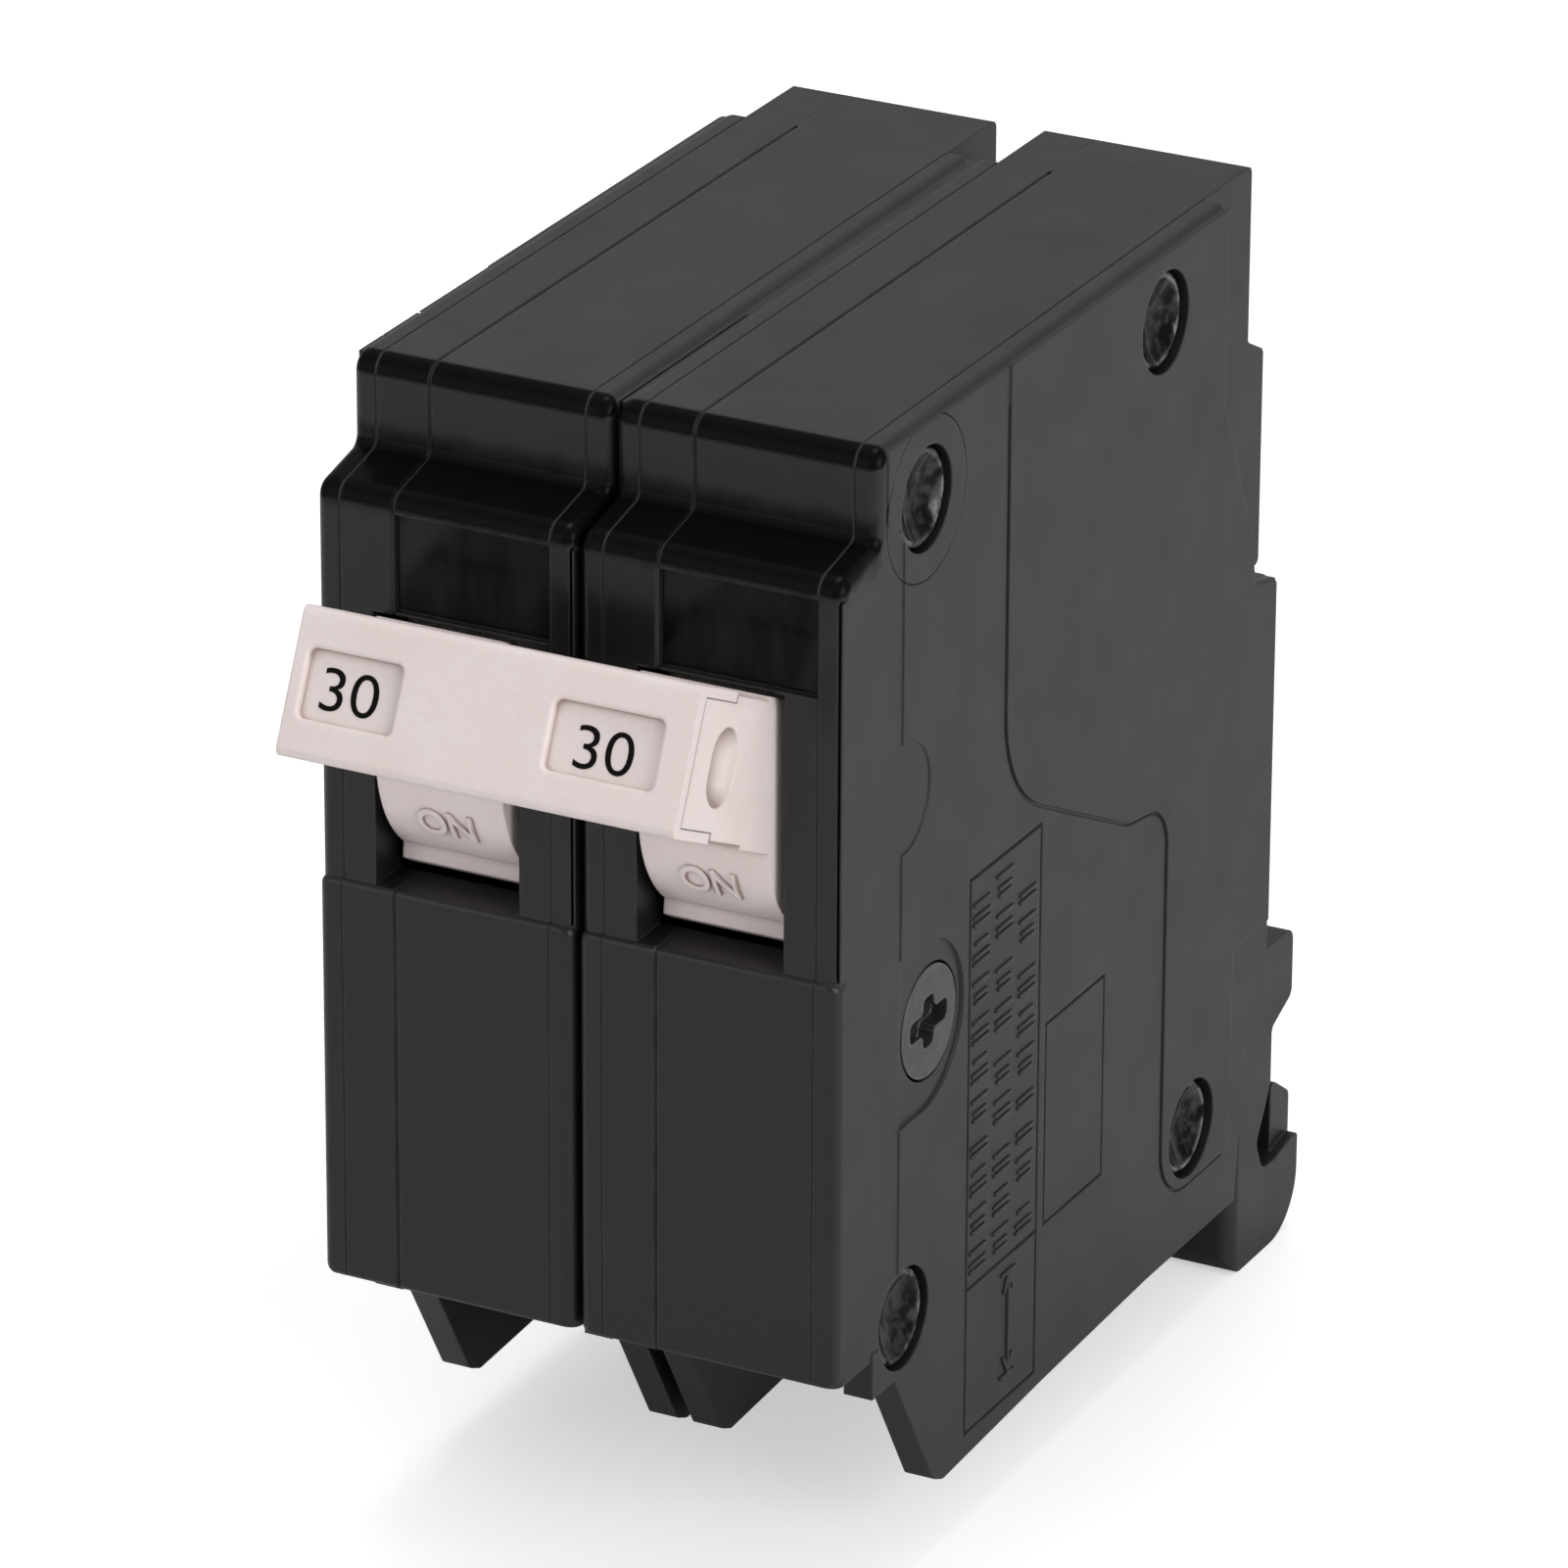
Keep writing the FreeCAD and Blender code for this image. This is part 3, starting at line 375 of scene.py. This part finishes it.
# ---------------------------------------------------------------- materials: metals
def metal(name, light, dark, rough, brush=(1.0, 1.0, 1.0), grain=0.35, depth=0.006, stain=None):
    """Metal with a brushed or grained surface, tone clouds, and paler worn edges."""
    look = Look(name)
    cloud = look.noise(3.5, 5.0)
    tone = look.blend(look.spread(cloud, 0.32, 0.68), dark, light)
    lines = look.noise(grain, 4.0, 0.65, look.stretched(brush))
    if stain is not None:
        spots = look.spread(look.noise(1.6, 6.0, 0.7), 0.56, 0.72, 0.0, 0.75)
        tone = look.blend(spots, tone, stain)
    paler = tuple(min(1.0, c * 1.25) for c in light[:3]) + (1.0,)
    tone = look.blend(look.times(look.edges(0.2), 0.6), tone, paler)
    normal = look.bump(lines, depth, look.rounded_normal(0.12))
    rough_map = look.spread(lines, 0.3, 0.7, rough - 0.07, rough + 0.08)
    return look.finish(tone, rough_map, normal, Metallic=1.0)


def copper():
    return metal("copper", (0.93, 0.52, 0.36, 1), (0.72, 0.34, 0.21, 1), 0.30,
                 brush=(1.0, 0.08, 0.08), stain=(0.30, 0.13, 0.07, 1))


def copper_braid():
    """Fine twisted wires: a diagonal weave at the scale of the lead's own strands."""
    look = Look("copper_braid")
    weave = look.most(*(look.math("SINE", look.vector_math("DOT_PRODUCT", look.place, lay))
                        for lay in ((7.0, 2.5, 2.5), (-7.0, 2.5, 2.5))))
    tone = look.blend(look.spread(weave, 0.0, 1.0), (0.36, 0.15, 0.08, 1), (0.95, 0.55, 0.38, 1))
    dull = look.spread(look.noise(1.2, 5.0), 0.5, 0.75, 0.0, 0.5)
    tone = look.blend(dull, tone, (0.5, 0.24, 0.15, 1))
    return look.finish(tone, look.spread(weave, 0.0, 1.0, 0.55, 0.3), look.bump(weave, 0.06),
                       Metallic=1.0)


def zinc_steel():
    return metal("zinc_steel", (0.72, 0.73, 0.72, 1), (0.50, 0.51, 0.50, 1), 0.32,
                 brush=(0.12, 1.0, 1.0), stain=(0.62, 0.60, 0.48, 1))


def silver_contact():
    return metal("silver_contact", (0.92, 0.91, 0.88, 1), (0.74, 0.73, 0.70, 1), 0.24,
                 grain=0.2, stain=(0.30, 0.28, 0.26, 1))


def tinned_copper():
    return metal("tinned_copper", (0.80, 0.79, 0.76, 1), (0.60, 0.59, 0.56, 1), 0.34,
                 brush=(0.15, 1.0, 0.15), stain=(0.62, 0.46, 0.36, 1))


def spring_steel():
    return metal("spring_steel", (0.45, 0.46, 0.48, 1), (0.26, 0.27, 0.29, 1), 0.25,
                 brush=(1.0, 1.0, 0.1), stain=(0.16, 0.15, 0.14, 1))


def bimetal_strip():
    """Two rolled alloys bonded face to face: one warmer, one greyer."""
    look = Look("bimetal_strip")
    side = look.spread(look.facing((0, 1, 0)), -0.2, 0.2)
    tone = look.blend(side, (0.62, 0.50, 0.38, 1), (0.50, 0.52, 0.55, 1))
    lines = look.noise(0.3, 4.0, 0.6, look.stretched((1.0, 1.0, 0.06)))
    heat = look.spread(look.noise(4.0, 3.0), 0.45, 0.7, 0.0, 0.5)
    tone = look.blend(heat, tone, (0.30, 0.22, 0.30, 1))
    return look.finish(tone, look.spread(lines, 0.3, 0.7, 0.28, 0.42),
                       look.bump(lines, 0.005, look.rounded_normal(0.1)), Metallic=1.0)


def brass_screw():
    return metal("brass_screw", (0.86, 0.66, 0.33, 1), (0.62, 0.43, 0.18, 1), 0.28,
                 grain=0.25, stain=(0.34, 0.22, 0.10, 1))


def tinned_aluminium():
    return metal("tinned_aluminium", (0.78, 0.78, 0.77, 1), (0.60, 0.60, 0.60, 1), 0.38,
                 brush=(1.0, 1.0, 0.1), grain=0.3, depth=0.01, stain=(0.45, 0.44, 0.42, 1))


def rivet_steel():
    """Blackened steel rivet: dark and glossy in its dish, burnished round the rim."""
    look = Look("rivet_steel")
    cloud = look.noise(0.9, 5.0)
    tone = look.blend(look.spread(cloud, 0.45, 0.62), grey(0.014), grey(0.06))
    worn = look.times(look.edges(0.6, 0.12), look.spread(look.noise(1.3, 3.0), 0.42, 0.6))
    tone = look.blend(worn, tone, grey(0.6))
    ripple = look.noise(2.4, 1.0, place=look.stretched((1.0, 1.0, 0.6)))
    normal = look.bump(ripple, 0.5, look.rounded_normal(0.35))
    return look.finish(tone, look.spread(cloud, 0.3, 0.7, 0.12, 0.22), normal, Metallic=1.0)


FINISHES = {make.__name__: make for make in (       # each is named after its slot in the record
    case_black, handle_cream, copper, copper_braid, zinc_steel, silver_contact, tinned_copper,
    spring_steel, grey_fibre, bimetal_strip, brass_screw, tinned_aluminium, trip_black,
    rivet_steel)}


def dress_cad():
    """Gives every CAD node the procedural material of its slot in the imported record."""
    made = {}
    for part in frame["record"]["subparts"]:
        slot = part["material_slot"]
        if slot not in made:
            made[slot] = FINISHES[slot]()
        obj = frame["nodes"][part["node"]]
        obj.data.materials.clear()
        obj.data.materials.append(made[slot])
    return made


# ---------------------------------------------------------------- detail pieces
def place(name, mesh, material, body, slot):
    """Adds a finished mesh, already in the row frame, as a piece that rides on a body."""
    for polygon in mesh.polygons:
        polygon.use_smooth = True
    mesh.set_sharp_from_angle(angle=math.radians(35))
    mesh.materials.clear()
    mesh.materials.append(material)
    obj = bpy.data.objects.new(name, mesh)
    bpy.context.scene.collection.objects.link(obj)
    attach(obj, body)


def letters(words, height, width, thick, bevel=0.0, thinner=0.0):
    """Mesh of solid letters, centred on the origin in X and Y, standing up from Z = 0. Bevel and
    thinner, which slims the strokes, are shares of the font's size."""
    curve = bpy.data.curves.new("letters", "FONT")
    curve.body = words
    curve.align_x = "CENTER"
    curve.align_y = "CENTER"
    curve.extrude = 0.05
    curve.bevel_depth = bevel
    curve.offset = -thinner
    curve.bevel_resolution = 2
    curve.resolution_u = 10
    holder = bpy.data.objects.new("letters", curve)
    bpy.context.scene.collection.objects.link(holder)
    bpy.context.view_layer.update()
    graph = bpy.context.evaluated_depsgraph_get()
    mesh = bpy.data.meshes.new_from_object(holder.evaluated_get(graph))
    bpy.data.objects.remove(holder)
    low = Vector(min(v.co[i] for v in mesh.vertices) for i in range(3))
    high = Vector(max(v.co[i] for v in mesh.vertices) for i in range(3))
    middle = (low + high) / 2
    size = high - low
    shape = Matrix.Diagonal((width / size.x, height / size.y, thick / size.z, 1))
    mesh.transform(shape @ Matrix.Translation((-middle.x, -middle.y, -low.z)))
    work = bmesh.new()
    work.from_mesh(mesh)
    bmesh.ops.remove_doubles(work, verts=work.verts, dist=1e-7)
    work.to_mesh(mesh)
    work.free()
    return mesh


def frame_matrix(x_axis, y_axis, z_axis, origin):
    """Matrix that lays a mesh's own axes along the given ones, at origin."""
    return Matrix.Translation(origin) @ Matrix((x_axis, y_axis, z_axis)).transposed().to_4x4()


def rounded_slab(width, height, corner, thick, soften):
    """Rounded rectangle in the XY plane from Z = 0 to thick, with a softened upper rim."""
    work = bmesh.new()
    rings = []
    bulge = soften * 0.3
    steps = 6
    for inset, z in ((0, 0), (0, thick - soften), (bulge, thick - bulge), (soften, thick)):
        ring = []
        for quarter, (side_x, side_y) in enumerate(((1, 1), (-1, 1), (-1, -1), (1, -1))):
            centre = Vector((side_x * (width / 2 - corner), side_y * (height / 2 - corner), z))
            for step in range(steps + 1):
                angle = math.pi / 2 * (quarter + step / steps)
                arm = Vector((math.cos(angle), math.sin(angle), 0)) * (corner - inset)
                ring.append(work.verts.new(centre + arm))
        rings.append(ring)
    for lower, upper in zip(rings, rings[1:]):
        for i in range(len(lower)):
            j = (i + 1) % len(lower)
            work.faces.new((lower[i], lower[j], upper[j], upper[i]))
    work.faces.new(rings[-1])
    work.faces.new(list(reversed(rings[0])))
    mesh = bpy.data.meshes.new("slab")
    work.to_mesh(mesh)
    work.free()
    return mesh


def merged(meshes):
    """One mesh that holds all the given ones."""
    work = bmesh.new()
    for mesh in meshes:
        work.from_mesh(mesh)
        bpy.data.meshes.remove(mesh)
    whole = bpy.data.meshes.new("merged")
    work.to_mesh(whole)
    work.free()
    return whole


WINDOW_DEPTH = 0.55 * MM
NUMERAL_HEIGHT, NUMERAL_WIDTH, INK_THICK = 2.75 * MM, 4.05 * MM, 0.03 * MM
NUMERAL_SPOT = {"left": (-10.0 * MM, -0.14 * MM), "right": (8.17 * MM, -0.39 * MM)}


def rating_numerals():
    """Printed current rating, the same generic number in both windows of the tie bar. A spot is
    how far right of the middle and how far above the levers' own line it stands."""
    bar = frame["nodes"]["handle_tie"].data
    face = max((v.co - PIVOT).dot(OUT) for v in bar.vertices) - WINDOW_DEPTH
    ink = ink_black()
    for pole in POLES:
        mesh = letters("30", NUMERAL_HEIGHT, NUMERAL_WIDTH, INK_THICK, thinner=0.006)
        across, above = NUMERAL_SPOT[pole]
        origin = PIVOT + OUT * face + UP * above
        origin.x = across
        mesh.transform(frame_matrix(ACROSS, UP, OUT, origin))
        place("rating_numeral_" + pole, mesh, ink, "handles", "trip_black")


DRUM_RADIUS = 9.35 * MM
MARK_HEIGHT = 2.4 * MM
MARK_PROUD = 0.19 * MM
MARK_ROOT = 0.25            # how deep a word is rooted in the drum, as a share of its rise
MARKS = (("ON", -51.8, 4.2 * MM), ("OFF", 51.8, 5.2 * MM))      # word, degrees up, width


def drum_word(pole, words, degrees, width, material):
    """Raised word bent round a lever's drum, centred at an angle from the lever's own line."""
    mesh = letters(words, MARK_HEIGHT, width, 1.0, bevel=0.03)
    work = bmesh.new()
    work.from_mesh(mesh)
    long = [edge for edge in work.edges if edge.calc_length() > 0.3 * MM
            and edge.verts[0].co.y != edge.verts[1].co.y]
    bmesh.ops.subdivide_edges(work, edges=long, cuts=3)
    for vertex in work.verts:
        across, along, lift = vertex.co
        angle = math.radians(degrees) + along / DRUM_RADIUS
        reach = DRUM_RADIUS + (lift * (1 + MARK_ROOT) - MARK_ROOT) * MARK_PROUD
        vertex.co = PIVOT + (OUT * math.cos(angle) + UP * math.sin(angle)) * reach
        vertex.co.x = POLE_X[pole] + across
    work.to_mesh(mesh)
    work.free()
    place(words.lower() + "_mark_" + pole, mesh, material, "handles", "handle_cream")


PANEL_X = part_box("right_base_shell")[1].x - 0.095 * MM      # the panel is a little sunk
ROOT = 0.04 * MM                                            # how deep a mark is rooted in it
STROKE = 0.32                                               # width of a mark's line


def on_side(mesh, y, z):
    """Stands a mesh on the right side panel, y behind and z above the case's front lower edge."""
    origin = Vector((PANEL_X - ROOT, y * MM, z * MM)) + DATUM
    mesh.transform(frame_matrix(BACKWARD, UPRIGHT, ACROSS, origin))
    return mesh


def side_bar(y, z, size_y, size_z, proud=0.14, corner=0.3):
    """Soft raised bar on the right side panel, with sides in millimetres."""
    corner = min(corner, 0.49 * size_y, 0.49 * size_z)
    slab = rounded_slab(size_y * MM, size_z * MM, corner * MM, proud * MM + ROOT, 0.06 * MM)
    return on_side(slab, y, z)


RATING_ROWS = ((20.0, (7, 12)), (23.4, (6, 4, 4, 4)), (26.8, (2, 3, 1, 6, 3)))
DASH_PITCH, DASH_TALL, DASH_SHORT, DASH_PROUD = 1.41, 2.5, 2.0, 0.12
FIRST_DASH = -0.2           # where each row starts, above the case's front lower edge
WORD_GAP = 0.75             # between groups of dashes, in pitches


def rating_dashes(material):
    """Rows of plain raised dashes, in place of the moulded wording. A row has its distance behind
    the front edge and the sizes of its groups, and reads upwards. Each step of a group is one
    dash, or two at every other step."""
    bars = []
    for y, groups in RATING_ROWS:
        z = FIRST_DASH
        for count in groups:
            for step in range(count):
                tall = DASH_SHORT if (count + step) % 3 == 0 else DASH_TALL
                for shift in (0.3, 0.66) if step % 2 == 0 else (0.3,):
                    spot = z + DASH_PITCH * (step + shift)
                    bars.append(side_bar(y, spot, tall, STROKE, DASH_PROUD))
            z += DASH_PITCH * (count + WORD_GAP)
    place("rating_dashes", merged(bars), material, "case", "case_black")


def strip_gauge(material):
    """Double-ended arrow, as long as the wire end that has to be bared."""
    y, low, high, bar = 24.6, -9.6, -2.0, 2.2
    head, slim, lean = 1.5, 0.3, math.radians(28)
    parts = [side_bar(y, (low + high) / 2, STROKE, high - low)]
    for tip, way in ((low, 1), (high, -1)):
        parts.append(side_bar(y, tip, bar, slim))
        for side in (-1, 1):
            stroke = rounded_slab(slim * MM, head * MM, 0.14 * MM, 0.2 * MM, 0.06 * MM)
            turn = Matrix.Rotation(side * lean, 4, "Z")
            stroke.transform(turn @ Matrix.Translation((0, way * head * MM / 2, 0)))
            parts.append(on_side(stroke, y, tip + way * slim / 2))
    place("strip_gauge", merged(parts), material, "case", "case_black")


# ---------------------------------------------------------------- stage, lights and camera
def floor():
    """Pale sweep, in metres: a level floor that curves up into a backdrop. It glows a little to
    the camera alone, so that it comes out white without lighting the breaker."""
    lowest = CAD_BOX[0].z
    width, depth, bend, rise, turn = 4.0, 1.6, 0.6, 2.2, math.radians(27)
    profile = [Vector((0, -depth, 0)), Vector((0, depth - bend, 0))]
    steps = 24
    for step in range(1, steps + 1):
        angle = math.pi / 2 * step / steps
        profile.append(Vector((0, depth - bend + bend * math.sin(angle),
                               bend - bend * math.cos(angle))))
    profile.append(Vector((0, depth, rise)))
    mesh = bpy.data.meshes.new("floor")
    verts = [p + Vector((side * width, 0, lowest)) for p in profile for side in (-1, 1)]
    faces = [(2 * i, 2 * i + 1, 2 * i + 3, 2 * i + 2) for i in range(len(profile) - 1)]
    mesh.from_pydata([tuple(v) for v in verts], [], faces)
    for polygon in mesh.polygons:
        polygon.use_smooth = True
    obj = bpy.data.objects.new("floor", mesh)
    bpy.context.scene.collection.objects.link(obj)
    look = Look("floor_paint")
    tone = look.blend(look.noise(60.0, 3.0), grey(0.80), grey(0.82))
    look.feed(look.surface.inputs["Emission Color"], grey(1.0))
    seen = look.node("ShaderNodeLightPath").outputs["Is Camera Ray"]
    look.feed(look.surface.inputs["Emission Strength"], look.math("MULTIPLY", seen, 0.5))
    obj.data.materials.append(look.finish(tone, 0.8))
    obj.rotation_euler.z = turn


LIGHT_TARGET = Vector((0, -0.03, 0))


def soft_light(name, spot, size, power):
    """Square area light that looks at the breaker."""
    data = bpy.data.lights.new(name, "AREA")
    data.size = size
    data.energy = power
    obj = bpy.data.objects.new(name, data)
    obj.location = spot
    obj.rotation_mode = "QUATERNION"
    obj.rotation_quaternion = (LIGHT_TARGET - Vector(spot)).to_track_quat("-Z", "Y")
    bpy.context.scene.collection.objects.link(obj)


def studio():
    """Even white surroundings, a large key light on the right, and softer ones above and left."""
    world = bpy.data.worlds.new("studio")
    world.use_nodes = True
    background = world.node_tree.nodes["Background"]
    background.inputs["Color"].default_value = grey(1.0)
    background.inputs["Strength"].default_value = 0.5
    bpy.context.scene.world = world
    soft_light("key", (1.15, -0.38, 0.46), 0.8, 8.0)
    soft_light("top", (-0.1, 0.1, 1.2), 0.45, 3.4)
    soft_light("fill", (-0.8, -1.1, 0.45), 0.9, 1.9)
    bpy.context.scene.view_settings.view_transform = "Standard"


CAMERA_SPOT = Vector((291.6, -601.1, 281.35)) * MM
CAMERA_TURN = (27.295, 23.426, 0.265)       # degrees: right of the front, above it, and roll
CAMERA_LENS = 240.55                        # millimetres, on a sensor 36 mm wide


def camera():
    """The camera of a product photograph: long lens, above and to the right of the front."""
    azimuth, elevation, roll = (math.radians(a) for a in CAMERA_TURN)
    level = math.cos(elevation)
    right = Vector((math.cos(azimuth), math.sin(azimuth), 0))
    back = Vector((math.sin(azimuth) * level, -math.cos(azimuth) * level, math.sin(elevation)))
    up = back.cross(right)
    turned_right = right * math.cos(roll) + up * math.sin(roll)
    turned_up = up * math.cos(roll) - right * math.sin(roll)
    data = bpy.data.cameras.new("camera")
    data.sensor_width = 36
    data.lens = CAMERA_LENS
    data.clip_start = 0.05
    obj = bpy.data.objects.new("camera", data)
    obj.matrix_world = frame_matrix(turned_right, turned_up, back, CAMERA_SPOT)
    bpy.context.scene.collection.objects.link(obj)
    bpy.context.scene.camera = obj


# ---------------------------------------------------------------- build
finishes = dress_cad()
rating_numerals()
for pole in POLES:
    for word, degrees, width in MARKS:
        drum_word(pole, word, degrees, width, finishes["handle_cream"])
rating_dashes(finishes["case_black"])
strip_gauge(finishes["case_black"])
floor()
studio()
camera()
